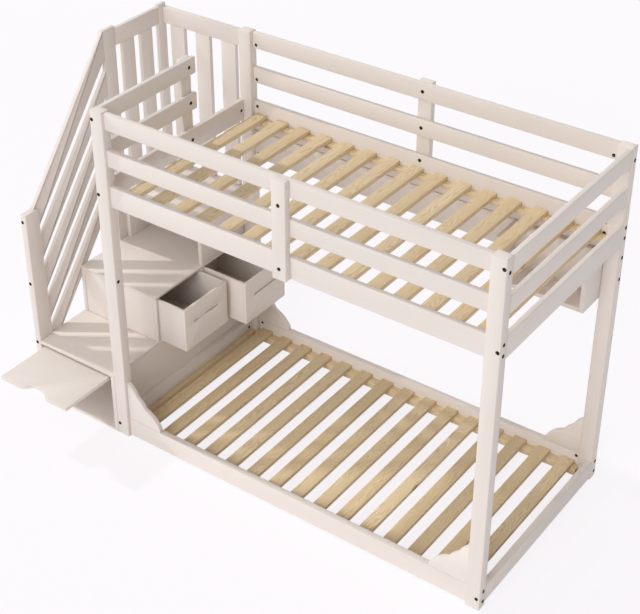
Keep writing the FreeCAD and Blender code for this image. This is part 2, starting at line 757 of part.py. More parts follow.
nodes.append(stair_shelf("compartment_floor", "0", "0", RISER_Y, "floor_thickness"))
nodes.append(stair_shelf("riser", RISER_Y, "0", "riser_thickness", PLATFORM_UNDER))
shelf_depth_inside = f"{STAIR_BACK_Y} - {RISER_REAR_Y}"
nodes.append(stair_shelf("drawer_shelf", RISER_REAR_Y, f"{DRAWER_Z} - board", shelf_depth_inside, "board"))
divider_y = f"{DRAWER_ONE_Y} + {DRAWER_WIDTH}"
nodes.append(stair_shelf("drawer_divider", divider_y, DRAWER_Z, "drawer_middle_stile", "drawer_height"))
lower_back = stair_shelf("stair_back_lower", STAIR_BACK_Y, "0", "board", PLATFORM_UNDER)
cubby_back = stair_shelf("stair_back_upper", STAIR_BACK_Y, PLATFORM_Z, "board", CUBBY_HEIGHT)
nodes.append(group("stair_back_panels", [lower_back, cubby_back]))
cubby_depth = f"bed_width - {CUBBY_FRONT_Y}"
cubby_sides = [
    board(f"cubby_side_{side}", x, CUBBY_FRONT_Y, PLATFORM_Z, "board", cubby_depth, CUBBY_HEIGHT)
    for side, x in (("left", STAIR_X), ("right", "0 - board"))
]
nodes.append(group("cubby_sides", cubby_sides))

tread_blank = board(
    "tread_blank", STAIR_X, "0", TREAD_UNDER, "stair_width", "tread_depth", "tread_thickness"
)
newel_notch = board(
    "newel_notch", GUARD_X, "0 - newel_depth", "0", "newel_width", "2*newel_depth", "bed_height"
)
nodes.append(cut("tread", tread_blank, newel_notch))
nodes.append(
    board(
        "platform",
        STAIR_X,
        "tread_depth",
        PLATFORM_UNDER,
        "stair_width",
        PLATFORM_DEPTH,
        "platform_thickness",
    )
)
landing_depth = "bed_width - landing_front"
nodes.append(
    board("landing", STAIR_X, "landing_front", f"{LANDING_Z} - board", "stair_width", landing_depth, "board")
)

# Guards on the open side of the stairs.
RAMP_RUN = "(guard_post_front - newel_depth)"
RAMP_RISE = f"({RAMP_RUN} * guard_slope_ratio)"
newel_blank = board("newel_blank", GUARD_X, "0", "0", "newel_width", "newel_depth", "newel_height")
drilled("newel_post", newel_blank)
for name, y, width, height in (
    ("middle_guard_post", "guard_post_front", "guard_post_width", "bed_height + guard_post_rise"),
    ("corner_guard_post", CORNER_POST_Y, "corner_post_width", "bed_height"),
):
    nodes.append(board(name, GUARD_X, y, "0", "board", width, height))

bars = []
for i in range(int(value("bar_count"))):
    foot = f"first_bar + {i}*bar_pitch"
    corners = [
        ("newel_depth", foot),
        ("guard_post_front", f"{foot} + {RAMP_RISE}"),
        ("guard_post_front", f"{foot} + {RAMP_RISE} + bar_height"),
        ("newel_depth", f"{foot} + bar_height"),
    ]
    bars.append(stair_side(f"guard_bar_{i + 1}", GUARD_X, corners))
drilled("guard_bars", group("guard_bar_blanks", bars))

# The top rail's foot laps over the newel post.
LIP_Y = "(newel_depth - newel_lip)"
top_corners = [
    ("newel_depth", "top_rail_foot"),
    ("guard_post_front", f"top_rail_foot + {RAMP_RISE}"),
    ("guard_post_front", f"top_rail_foot + {RAMP_RISE} + top_rail_height"),
    (LIP_Y, "newel_height"),
    ("newel_depth", "newel_height"),
]
drilled("sloped_top_rail", stair_side("sloped_rail_blank", GUARD_X, top_corners))

LANDING_RUN = f"({CORNER_POST_Y} - {GUARD_POST_REAR_Y})"
nodes.append(
    board(
        "landing_side_rail",
        GUARD_X,
        GUARD_POST_REAR_Y,
        LANDING_RAIL_Z,
        "board",
        LANDING_RUN,
        "landing_rail_height",
    )
)
SIDE_SLAT_GAP = f"(({LANDING_RUN} - 2*landing_slat_width) / 3)"
side_slats = [
    board(
        f"landing_side_slat_{i + 1}",
        GUARD_X,
        f"{GUARD_POST_REAR_Y} + {SIDE_SLAT_GAP} + {i}*({SIDE_SLAT_GAP} + landing_slat_width)",
        f"{LANDING_Z} - landing_slat_lap",
        "board",
        "landing_slat_width",
        f"{LANDING_RAIL_Z} - {LANDING_Z} + landing_slat_lap",
    )
    for i in range(2)
]
nodes.append(group("landing_side_slats", side_slats))

nodes.append(
    board(
        "landing_rear_rail",
        STAIR_X,
        STAIR_BACK_Y,
        REAR_PANEL_RAIL_Z,
        "stair_width",
        "board",
        "rear_panel_rail",
    )
)
REAR_SLAT_PITCH = "((stair_width - 2*rear_slat_margin - rear_slat_width) / 2)"
rear_slats = [
    board(
        f"landing_rear_slat_{i + 1}",
        f"{STAIR_X} + rear_slat_margin + {i}*{REAR_SLAT_PITCH}",
        STAIR_BACK_Y,
        LANDING_Z,
        "rear_slat_width",
        "board",
        f"{REAR_PANEL_RAIL_Z} - {LANDING_Z}",
    )
    for i in range(3)
]
nodes.append(group("landing_rear_slats", rear_slats))


# ---------------------------------------------------------------- drawers
def drawer(name, opening_y, pulled):
    """Drawer that runs along X, drawn where it stands pulled out."""
    front_x = f"({pulled} - drawer_front)"
    near_y = f"({opening_y} + drawer_gap)"
    width = f"({DRAWER_WIDTH} - 2*drawer_gap)"
    low_z = f"({DRAWER_Z} + drawer_slide_gap)"
    height = "(drawer_height - 2*drawer_gap)"
    face = board(f"{name}_face", front_x, near_y, low_z, "drawer_front", width, height)
    slot = board(
        f"{name}_slot",
        f"{front_x} - wood_clearance",
        f"{near_y} + {width}/2 - slot_length/2",
        f"{low_z} + {height} - slot_drop - slot_height",
        "drawer_front + 2*wood_clearance",
        "slot_length",
        "slot_height",
    )
    nodes.append(cut(f"{name}_front", face, slot))
    box_x = f"({pulled} - drawer_length)"
    box_length = "(drawer_length - drawer_front)"
    far_y = f"({near_y} + {width} - drawer_wall)"
    inner_y = f"({near_y} + drawer_wall)"
    inner_width = f"({width} - 2*drawer_wall)"
    base_x = f"({box_x} + drawer_wall)"
    base_length = f"({box_length} - drawer_wall)"
    walls = [
        board(f"{name}_wall_near", box_x, near_y, low_z, box_length, "drawer_wall", height),
        board(f"{name}_wall_far", box_x, far_y, low_z, box_length, "drawer_wall", height),
        board(f"{name}_wall_back", box_x, inner_y, low_z, "drawer_wall", inner_width, height),
        board(f"{name}_base", base_x, inner_y, low_z, base_length, inner_width, "drawer_bottom"),
    ]
    nodes.append(group(f"{name}_box", walls))


drawer("drawer_1", DRAWER_ONE_Y, "drawer_one_pulled")
drawer("drawer_2", DRAWER_TWO_Y, "drawer_two_pulled")

# ------------------------------------------------------- compartment door
# The door stands open and level. It turns down about its pins, which lie just
# behind the tread's lower front edge, and then fills the compartment's mouth.
FLAP_WIDTH = f"({STAIR_INNER_WIDTH} - 2*flap_side_gap)"
FLAP_LENGTH = f"({FLAP_REACH} + flap_lap)"
# A finger notch in the outer edge: two S-curves lead to its flat bottom.
NOTCH_LEFT = f"({FLAP_WIDTH}/2 - notch_flat/2)"
NOTCH_RIGHT = f"({FLAP_WIDTH}/2 + notch_flat/2)"
NOTCH_ROUND = "((notch_flare^2 + notch_depth^2) / (4*notch_depth))"
FLAP_OUTLINE = [
    ("0", "0"),
    (f"{NOTCH_LEFT} - notch_flare", "0"),
    (f"{NOTCH_LEFT} - notch_flare/2", "notch_depth/2"),
    (NOTCH_LEFT, "notch_depth"),
    (NOTCH_RIGHT, "notch_depth"),
    (f"{NOTCH_RIGHT} + notch_flare/2", "notch_depth/2"),
    (f"{NOTCH_RIGHT} + notch_flare", "0"),
    (FLAP_WIDTH, "0"),
    (FLAP_WIDTH, FLAP_LENGTH),
    ("0", FLAP_LENGTH),
]
flap = padded_outline(
    "compartment_door_blank",
    "XY_Plane",
    FLAP_OUTLINE,
    "flap_thickness",
    lobes={1: NOTCH_ROUND, 5: NOTCH_ROUND},
    hollows={2: NOTCH_ROUND, 4: NOTCH_ROUND},
)
place(flap, FLAP_X, f"pin_inset - {FLAP_REACH}", f"{PIN_Z} + pin_inset - flap_thickness")
drilled("compartment_door", flap)
nodes.append(group("hinge_pins", pins))

# ------------------------------------------------------- check and write
doc.recompute()
faults = [thing.Label for thing in doc.Objects if "Invalid" in thing.State or "Error" in thing.State]
faults += [node.Label for node in nodes if node.Shape.isNull() or not node.Shape.isValid()]
if faults:
    raise RuntimeError("failed objects: " + ", ".join(faults))
for node in nodes:
    node.Shape.exportStep(f"parts/{node.Label}.step")
print(f"{len(nodes)} nodes written")
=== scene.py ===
"""Bunk bed with storage stairs, dressed for a plain studio picture.

Every board is made again with eased edges and grain that runs along it, from
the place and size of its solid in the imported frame. All lengths are metres.
"""

import json
import math

import bpy
import numpy as np
from bpy.props import FloatProperty, FloatVectorProperty, PointerProperty
from mathutils import Matrix, Vector


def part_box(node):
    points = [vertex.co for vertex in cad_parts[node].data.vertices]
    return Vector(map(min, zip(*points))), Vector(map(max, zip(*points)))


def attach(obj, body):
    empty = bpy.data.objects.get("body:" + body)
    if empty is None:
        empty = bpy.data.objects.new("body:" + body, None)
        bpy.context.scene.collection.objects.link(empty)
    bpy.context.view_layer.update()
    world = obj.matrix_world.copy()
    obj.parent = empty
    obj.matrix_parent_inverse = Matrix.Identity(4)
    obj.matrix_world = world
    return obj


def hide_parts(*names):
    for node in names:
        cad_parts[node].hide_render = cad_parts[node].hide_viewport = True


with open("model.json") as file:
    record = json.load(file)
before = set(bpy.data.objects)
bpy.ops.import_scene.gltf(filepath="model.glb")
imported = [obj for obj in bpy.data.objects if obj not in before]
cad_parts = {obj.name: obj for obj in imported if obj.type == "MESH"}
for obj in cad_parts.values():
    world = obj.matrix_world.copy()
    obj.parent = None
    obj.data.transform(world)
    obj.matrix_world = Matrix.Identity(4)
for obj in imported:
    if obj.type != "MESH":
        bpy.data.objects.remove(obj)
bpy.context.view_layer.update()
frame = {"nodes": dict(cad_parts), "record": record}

bl_info = {
    "name": "Bunk bed with storage stairs",
    "version": (1, 0, 0),
    "blender": (4, 5, 0),
    "location": "View3D > Sidebar > Bunk bed",
    "description": "Boards, slats, drawers, hardware and stage of a bunk bed with storage stairs",
    "category": "Object",
}

MM = 0.001
draw = np.random.default_rng(7)

# The image that the camera is set for, in pixels, and the width of its sensor in millimetres.
IMAGE_WIDTH = 640
IMAGE_HEIGHT = 614
SENSOR_WIDTH = 36

# The camera that the photograph's perspective was solved for: its place in metres, its
# angles in degrees, and its focal length and the middle of its view in pixels.
CAMERA_PLACE = (3.9711, -3.9710, 4.5519)
CAMERA_AZIMUTH = 35.91
CAMERA_ELEVATION = 32.89
CAMERA_ROLL = -0.12
FOCAL_LENGTH = 1475.9
VIEW_CENTRE_X = 310.85
VIEW_CENTRE_Y = 263.3

# Corners of a CAD node that agree to this many decimals of a metre are one corner.
WELD_DECIMALS = 5

# Corners this near to the level of a solid's end lie in its end face.
FACE_TOLERANCE = 0.05 * MM

# Farther than this from the axis of a bolt there is only its head.
SHANK_REACH = 5 * MM

# A rounding takes at most this share of a board's least size.
LARGEST_ROUNDING = 0.45

# Two sides whose directions have a dot product below this run on as one curve.
CURVE_DOT = -0.9

# The grain of each board is shifted at random by up to this many metres.
GRAIN_SHIFT = 9

# Corners round a bolt head.
HEAD_STEPS = 24

# Screw in the inner side of the front left post, which holds the stairs' landing.
LANDING_SCREW = (34 * MM, -8 * MM, 886 * MM)

# Boards whose shape is a plain box, or a few of them, by the operator that makes them.
POSTS = ("post_front_left", "post_front_right", "post_rear_left", "post_rear_right")
RAILS = (
    "upper_side_rail_front",
    "upper_side_rail_rear",
    "upper_end_rail_left",
    "upper_end_rail_right",
    "lower_side_rail_front",
    "lower_side_rail_rear",
    "lower_end_rail_left",
    "lower_end_rail_right",
)
BED_GUARDS = (
    "front_guard_rails",
    "rear_guard_rails",
    "left_guard_rails",
    "right_guard_rails",
    "front_centre_batten",
    "rear_centre_batten",
    "left_guard_batten",
)
SLATS = ("upper_slats", "lower_slats", "upper_slat_cleats", "lower_slat_cleats")
REAR_SHELF = ("rear_board", "shelf_back", "shelf_bottom", "shelf_ends")
STAIR_BOARDS = (
    "drawer_stiles",
    "compartment_floor",
    "riser",
    "drawer_shelf",
    "drawer_divider",
    "stair_back_panels",
    "cubby_sides",
    "platform",
    "landing",
)
GUARD_BOARDS = (
    "newel_post",
    "middle_guard_post",
    "corner_guard_post",
    "landing_side_rail",
    "landing_side_slats",
    "landing_rear_rail",
    "landing_rear_slats",
)


# ---------------------------------------------------------------- settings
def linear(hex_colour):
    """Linear colour of an sRGB hex value such as E6DDD5."""
    channels = np.array([int(hex_colour[i : i + 2], 16) for i in (0, 2, 4)]) / 255
    low = channels / 12.92
    high = ((channels + 0.055) / 1.055) ** 2.4
    return tuple(np.where(channels <= 0.04045, low, high))


def colour(name, description, hex_colour):
    """Colour property with a default given as sRGB hex."""
    return FloatVectorProperty(
        name=name,
        description=description,
        subtype="COLOR",
        size=3,
        min=0,
        max=1,
        default=linear(hex_colour),
    )


def length(name, description, default):
    """Length property in metres."""
    return FloatProperty(
        name=name, description=description, subtype="DISTANCE", unit="LENGTH", default=default
    )


class BunkBedFinish(bpy.types.PropertyGroup):
    """Sizes and colours of the bed's own surfaces."""

    post_edge: length("Post edge", "Rounding of the posts' long edges", 4 * MM)
    board_edge: length("Board edge", "Rounding of the painted boards' edges", 2.5 * MM)
    slat_edge: length("Slat edge", "Rounding of the pine slats' edges", 2 * MM)
    drawer_edge: length("Drawer edge", "Rounding of the drawers' edges", 1.5 * MM)
    drawer_wall: length("Drawer wall", "Thickness of the drawers' sides and back", 12 * MM)
    drawer_base: length("Drawer base", "Thickness of the drawers' bottoms", 6 * MM)
    bolt_head: length("Bolt head", "Radius of the connector bolts' heads", 8.5 * MM)
    bolt_rise: length("Bolt rise", "Height of the bolt heads above the wood", 2 * MM)
    nut_face: length("Nut face", "Radius of the rims round the barrel nuts' ends", 8 * MM)
    nut_rise: length("Nut rise", "Height of those rims above the wood", 0.6 * MM)
    paint: colour("Paint", "Off-white paint on the boards", "E8DFD8")
    paint_worn: colour("Worn paint", "Paint rubbed thin over the wood at the edges", "DCCFC3")
    pine_light: colour("Early wood", "Pale early wood of the pine slats", "E6D2B0")
    pine_dark: colour("Late wood", "Darker late wood of the pine slats", "C9AE83")
    pine_knot: colour("Knot", "Knots in the pine slats", "8A6238")
    bolt_steel: colour("Bolt steel", "Dark bronzed steel of the bolts", "3A302A")
    zinc: colour("Black zinc", "Black-passivated zinc on the barrel nuts", "46403C")
    nickel: colour("Nickel", "Satin nickel on the hinge pins", "B8B0A4")


class BunkBedStage(bpy.types.PropertyGroup):
    """Camera, lamps and ground."""

    ground: colour("Ground", "Colour of the ground and of the background", "FEFBFE")
    ground_size: length("Ground size", "Width of the ground", 60.0)
    sun_strength: FloatProperty(name="Sun", description="Strength of the sun from the left", default=1.45)
    fill_strength: FloatProperty(name="Fill", description="Strength of the soft front light", default=1.4)
    sky_strength: FloatProperty(name="Sky", description="Strength of the even light all round", default=0.42)


# ------------------------------------------------------------- shape makers
def solids(node):
    """Points and triangles of each separate solid of a CAD node.

    Corners in one place are one corner; then the lowest label of each
    triangle spreads to its three corners until nothing changes.
    """
    mesh = frame["nodes"][node].data
    points = np.empty(len(mesh.vertices) * 3)
    mesh.vertices.foreach_get("co", points)
    corners = np.empty(len(mesh.loops), int)
    mesh.loops.foreach_get("vertex_index", corners)
    points = points.reshape(-1, 3)
    near = np.round(points, WELD_DECIMALS)
    _, first, welded = np.unique(near, axis=0, return_index=True, return_inverse=True)
    points = points[first]
    triangles = welded.reshape(-1)[corners].reshape(-1, 3)
    label = np.arange(len(points))
    while True:
        spread = label.copy()
        np.minimum.at(spread, triangles.ravel(), np.repeat(label[triangles].min(axis=1), 3))
        if np.array_equal(spread, label):
            break
        label = spread
    found = []
    for number in np.unique(label):
        own = np.flatnonzero(label == number)
        place = np.zeros(len(points), int)
        place[own] = np.arange(len(own))
        found.append((points[own], place[triangles[label[triangles[:, 0]] == number]]))
    return found


def eased(corners, cut):
    """Outline whose real corners are each a short curve.

    A corner P between directions u and v becomes P + cut((1-t)^2 u + t^2 v)
    for t = 0, 1/2 and 1, a parabola that touches both sides.
    """
    back = np.roll(corners, 1, axis=0) - corners
    ahead = np.roll(corners, -1, axis=0) - corners
    back /= np.linalg.norm(back, axis=1)[:, None]
    ahead /= np.linalg.norm(ahead, axis=1)[:, None]
    sharp = (back * ahead).sum(axis=1) > CURVE_DOT
    t = np.array([0.0, 0.5, 1.0])
    towards_back = ((1 - t) ** 2)[None, :, None] * back[:, None, :]
    towards_ahead = (t**2)[None, :, None] * ahead[:, None, :]
    bends = cut * (towards_back + towards_ahead)
    points = corners[:, None, :] + np.where(sharp[:, None, None], bends, 0)
    return points[sharp[:, None] | (t == 0.5)[None, :]]


def inset(outline, distance):
    """Outline moved inwards by a distance, along the mitre of the two sides at each corner."""
    side = np.roll(outline, -1, axis=0) - outline
    normal = np.stack([side[:, 1], -side[:, 0]], axis=1)
    normal /= np.linalg.norm(normal, axis=1)[:, None]
    before = np.roll(normal, 1, axis=0)
    mitre = (normal + before) / (1 + (normal * before).sum(axis=1))[:, None]
    return outline - distance * mitre


def carried(outline, low, high, cut, axis, grain):
    """Outline carried along an axis from low to high, with rims rounded by cut.

    Ring k lies at low + cut(1 - cos a) with the outline inset by
    cut(1 - sin a), for a = 0, 45 and 90 degrees, and the same from high.
    Grain is the axis that the wood's fibres follow. Returns points, corners,
    corners per face, texture places and a mark for the eased faces.
    """
    turn = np.radians([0, 45, 90])
    steps = cut * (1 - np.cos(turn))
    insets = cut * (1 - np.sin(turn))
    levels = np.concatenate([low + steps, high - steps[::-1]])
    insets = np.concatenate([insets, insets[::-1]])
    rings, count = len(levels), len(outline)
    plane = ((axis + 1) % 3, (axis + 2) % 3)
    points = np.empty((rings, count, 3))
    points[:, :, plane] = np.stack([inset(outline, d) for d in insets])
    points[:, :, axis] = levels[:, None]
    index = np.arange(rings * count).reshape(rings, count)
    index = np.concatenate([index, index[:, :1]], axis=1)
    quads = np.stack([index[:-1, :-1], index[:-1, 1:], index[1:, 1:], index[1:, :-1]], axis=-1)
    corners = np.concatenate([quads.ravel(), index[0, :-1][::-1], index[-1, :-1]])
    totals = np.concatenate([np.full((rings - 1) * count, 4), [count, count]])

    run = np.linalg.norm(np.roll(outline, -1, axis=0) - outline, axis=1)
    run = np.concatenate([[0], np.cumsum(run)])
    round_way = np.broadcast_to(run, (rings, count + 1))
    along_way = np.broadcast_to(levels[:, None], (rings, count + 1))
    sheet = np.stack([along_way, round_way] if grain == axis else [round_way, along_way], axis=-1)
    places = np.stack([sheet[:-1, :-1], sheet[:-1, 1:], sheet[1:, 1:], sheet[1:, :-1]], axis=-2)
    flat = points[0][:, plane]
    if grain == plane[1]:
        flat = flat[:, ::-1]
    places = np.concatenate([places.reshape(-1, 2), flat[::-1], flat])

    # Only the middle band is flat, and a side hardly longer than the cut belongs to an eased corner.
    ring_mark = np.ones(rings - 1)
    ring_mark[rings // 2 - 1] = 0
    corner_mark = run[1:] - run[:-1] < 1.1 * cut
    marks = np.maximum(ring_mark[:, None], corner_mark[None, :]).ravel()
    return points.reshape(-1, 3), corners, totals, places, np.concatenate([marks, [0, 0]])


def board(low, high, cut, grain=None):
    """Board from its low and high corners: its eased section carried along its longest side."""
    low, high = np.array(low, float), np.array(high, float)
    size = high - low
    axis = int(size.argmax())
    a, b = (axis + 1) % 3, (axis + 2) % 3
    section = np.array([(low[a], low[b]), (high[a], low[b]), (high[a], high[b]), (low[a], high[b])])
    cut = min(cut, LARGEST_ROUNDING * size.min())
    return carried(eased(section, cut), low[axis], high[axis], cut, axis, axis if grain is None else grain)


def rim_of(solid, axis):
    """Outline of a solid's low end face, from its triangles.

    A side that only one triangle of the face has is on the rim; each rim side
    leads to the next.
    """
    points, triangles = solid
    plane = [(axis + 1) % 3, (axis + 2) % 3]
    flat = triangles[(points[triangles][:, :, axis] < points[:, axis].min() + FACE_TOLERANCE).all(axis=1)]
    sides = np.concatenate([flat[:, [0, 1]], flat[:, [1, 2]], flat[:, [2, 0]]])
    pairs = set(map(tuple, sides.tolist()))
    following = {first: second for first, second in pairs if (second, first) not in pairs}
    outer = max(following, key=lambda corner: points[corner][plane].sum())
    loop = [outer]
    while following[loop[-1]] != outer:
        loop.append(following[loop[-1]])
    return points[loop[::-1]][:, plane]


def shaped(solid, axis, cut, grain):
    """Board with an outline of its own: its end face's rim, eased and carried through the thickness."""
    low, high = solid[0][:, axis].min(), solid[0][:, axis].max()
    return carried(eased(rim_of(solid, axis), cut), low, high, cut, axis, grain)


def cast(outline, middle, angles):
    """Points where rays from the middle, at these angles, leave a convex outline.

    With n and p the outward normal and the first corner of each side, the ray
    d leaves at the least (n.p)/(n.d) over the sides that it faces.
    """
    side = np.roll(outline, -1, axis=0) - outline
    normal = np.stack([side[:, 1], -side[:, 0]], axis=1)
    ways = np.stack([np.cos(angles), np.sin(angles)], axis=1)
    facing = ways @ normal.T
    reach = ((outline - middle) * normal).sum(axis=1)[None, :]
    distance = np.where(facing > 1e-9, reach / np.maximum(facing, 1e-9), np.inf).min(axis=1)
    return middle + distance[:, None] * ways


def slotted(points, axis, cut, grain):
    """Board with a slot through it, as one closed ring of loops round the slot.

    Each loop is a board's or slot's outline, eased and moved inwards or
    outwards; rays from the slot's middle through every corner of both
    outlines give all the loops matching points.
    """
    low, high = points.min(axis=0), points.max(axis=0)
    plane = [(axis + 1) % 3, (axis + 2) % 3]
    inner = ((points > low + MM) & (points < high - MM))[:, plane].all(axis=1)
    slot = points[inner][:, plane]
    middle = (slot.min(axis=0) + slot.max(axis=0)) / 2

    def rectangle(near, far):
        return np.array([near, (far[0], near[1]), far, (near[0], far[1])])

    slot_cut = LARGEST_ROUNDING * np.ptp(slot, axis=0).min()
    board_edge = eased(rectangle(low[plane], high[plane]), cut)
    slot_edge = eased(rectangle(slot.min(axis=0), slot.max(axis=0)), slot_cut)
    bends = np.concatenate([board_edge, slot_edge]) - middle
    angles = np.unique(np.round(np.arctan2(bends[:, 1], bends[:, 0]), 6))
    turn = np.radians([0, 45, 90])
    step, back = cut * (1 - np.cos(turn)), cut * (1 - np.sin(turn))
    outward = [(board_edge, back, low[axis] + step), (board_edge, back[::-1], high[axis] - step[::-1])]
    inward = [(slot_edge, -back, high[axis] - step), (slot_edge, -back[::-1], low[axis] + step[::-1])]
    stretches = outward + inward
    grid = np.empty((len(turn) * len(stretches), len(angles), 3))
    row = 0
    for outline, insets, levels in stretches:
        for distance, level in zip(insets, levels):
            grid[row, :, plane] = cast(inset(outline, distance), middle, angles).T
            grid[row, :, axis] = level
            row += 1
    rings, count = grid.shape[:2]
    index = np.arange(rings * count).reshape(rings, count)
    index = np.concatenate([index, index[:1]], axis=0)
    index = np.concatenate([index, index[:, :1]], axis=1)
    quads = np.stack([index[:-1, :-1], index[:-1, 1:], index[1:, 1:], index[1:, :-1]], axis=-1)
    corners = quads.ravel()
    flat = grid.reshape(-1, 3)[corners]
    places = flat[:, [grain, plane[0] if grain == plane[1] else plane[1]]]
    # The band after each stretch is flat: the outer wall, one face, the slot's wall, the other face.
    marks = np.ones((rings, count))
    marks[len(turn) - 1 :: len(turn)] = 0
    return grid.reshape(-1, 3), corners, np.full(rings * count, 4), places, marks.ravel()


def heads(seats, directions, radius, rise, socket, flats):
    """Low domed heads on the wood, each with a socket of so many flats.

    Ring radii and heights are a profile turned about the head's axis: a skirt
    sunk in the wood, the side, the crown, the socket's rim, the foot of its
    wall and the middle of its floor. With n flats of reach s, the socket's
    rim is at radius s cos(pi/n) / cos(a mod 2pi/n - pi/n) for the angle a.
    """
    angle = np.linspace(0, 2 * np.pi, HEAD_STEPS, endpoint=False)
    sector = 2 * np.pi / flats
    polygon = socket * np.cos(sector / 2) / np.cos(angle % sector - sector / 2)
    rim = np.full(HEAD_STEPS, radius)
    radii = np.stack([rim, rim, 0.8 * rim, polygon, 0.94 * polygon, 0.01 * polygon])
    heights = np.array([-0.2 * rise, 0.5 * rise, rise, rise, 0.1 * rise, 0.1 * rise])
    side = np.cross(directions, [0.0, 0.0, 1.0])
    side /= np.linalg.norm(side, axis=1)[:, None]
    up = np.cross(side, directions)
    x = (radii * np.cos(angle))[None, :, :, None] * side[:, None, None, :]
    y = (radii * np.sin(angle))[None, :, :, None] * up[:, None, None, :]
    z = heights[None, :, None, None] * directions[:, None, None, :]
    points = seats[:, None, None, :] + x - y + z
    index = np.arange(points[..., 0].size).reshape(points.shape[:3])
    index = np.concatenate([index, index[:, :, :1]], axis=2)
    quads = np.stack([index[:, :-1, :-1], index[:, :-1, 1:], index[:, 1:, 1:], index[:, 1:, :-1]], axis=-1)
    centres = index[:, -1, :-1]
    corners = np.concatenate([quads.ravel(), centres.ravel()])
    totals = np.concatenate([np.full(quads.size // 4, 4), np.full(len(seats), HEAD_STEPS)])
    flat = points.reshape(-1, 3)
    return flat, corners, totals, flat[corners][:, :2], np.zeros(len(totals))


def piece(name, body, parts, material, slot, *nodes):
    """One object of several parts, which rides on a body and stands for CAD nodes.

    Each part gets its own shift of the grain and its own tone, both drawn at random.
    """
    offset = 0
    points, corners, totals = [], [], []
    places, marks, tones = [], [], []
    for part_points, part_corners, part_totals, part_places, part_marks in parts:
        points.append(part_points)
        corners.append(part_corners + offset)
        totals.append(part_totals)
        places.append(part_places + draw.uniform(0, GRAIN_SHIFT, 2))
        marks.append(part_marks)
        tones.append(np.full(len(part_totals), draw.uniform()))
        offset += len(part_points)
    points = np.concatenate(points)
    corners = np.concatenate(corners)
    totals = np.concatenate(totals)
    mesh = bpy.data.meshes.new(name)
    mesh.vertices.add(len(points))
    mesh.vertices.foreach_set("co", points.astype(np.float32).ravel())
    mesh.loops.add(len(corners))
    mesh.loops.foreach_set("vertex_index", corners.astype(np.int32))
    mesh.polygons.add(len(totals))
    mesh.polygons.foreach_set("loop_start", (np.cumsum(totals) - totals).astype(np.int32))
    mesh.update(calc_edges=True)
    places = np.concatenate(places).astype(np.float32)
    mesh.uv_layers.new(name="grain").data.foreach_set("uv", places.ravel())
    for title, values in (("tone", tones), ("eased", marks)):
        attribute = mesh.attributes.new(title, "FLOAT", "FACE")
        attribute.data.foreach_set("value", np.concatenate(values).astype(np.float32))
    mesh.materials.append(material)
    made = bpy.data.objects.new(name, mesh)
    bpy.context.scene.collection.objects.link(made)
    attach(made, body)
    if nodes:
        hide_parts(*nodes)
    return made


def body_of(node):
    """Name of the body that a CAD node belongs to."""
    return next(name for name, nodes in frame["record"]["behaviour"]["bodies"].items() if node in nodes)


def rebuild(node, cut, material, slot):
    """Object with one eased board for each solid of a CAD node."""
    parts = [board(points.min(axis=0), points.max(axis=0), cut) for points, _ in solids(node)]
    return piece(f"{node}_wood", body_of(node), parts, material, slot, node)


def reshape(node, axis, cut, grain, material, slot="painted_wood"):
    """Object with one shaped board for each solid of a CAD node."""
    parts = [shaped(solid, axis, cut, grain) for solid in solids(node)]
    return piece(f"{node}_wood", body_of(node), parts, material, slot, node)


# ---------------------------------------------------------------- materials
def add(tree, kind, inputs=None, **settings):
    """Add a node with its settings, then fill or link its inputs."""
    made = tree.nodes.new(kind)
    for name, value in settings.items():
        setattr(made, name, value)
    for socket, value in (inputs or {}).items():
        if isinstance(value, bpy.types.NodeSocket):
            tree.links.new(value, made.inputs[socket])
        else:
            made.inputs[socket].default_value = value
    return made


def blank(name):
    """New material with only a Principled shader and its output."""
    made = bpy.data.materials.get(name)
    if made:
        bpy.data.materials.remove(made)
    made = bpy.data.materials.new(name)
    made.use_nodes = True
    made.node_tree.nodes.clear()
    shader = add(made.node_tree, "ShaderNodeBsdfPrincipled")
    add(made.node_tree, "ShaderNodeOutputMaterial", {"Surface": shader.outputs[0]})
    return made, made.node_tree, shader


def rgba(value):
    """Colour property as four numbers."""
    return (*value, 1.0)


def fibres(tree, along, across, detail, roughness=0.55):
    """Noise drawn out along the grain; along and across are the least marks in metres."""
    place = add(tree, "ShaderNodeUVMap", uv_map="grain")
    scale = (1 / along, 1 / across, 1)
    stretch = add(tree, "ShaderNodeMapping", {"Vector": place.outputs[0], "Scale": scale})
    return add(
        tree,
        "ShaderNodeTexNoise",
        {"Vector": stretch.outputs[0], "Scale": 1.0, "Detail": detail, "Roughness": roughness},
    ).outputs["Fac"]


def mixed(tree, factor, first, second, mode="MIX"):
    """Colour mixed from two by a factor."""
    made = add(tree, "ShaderNodeMix", data_type="RGBA", blend_type=mode)
    for number, value in ((0, factor), (6, first), (7, second)):
        if isinstance(value, bpy.types.NodeSocket):
            tree.links.new(value, made.inputs[number])
        else:
            made.inputs[number].default_value = value
    return made.outputs[2]


def ranged(tree, value, low, high, to_low, to_high):
    """Value moved from one range to another, and held inside it."""
    return add(
        tree,
        "ShaderNodeMapRange",
        {0: value, "From Min": low, "From Max": high, "To Min": to_low, "To Max": to_high},
    ).outputs[0]


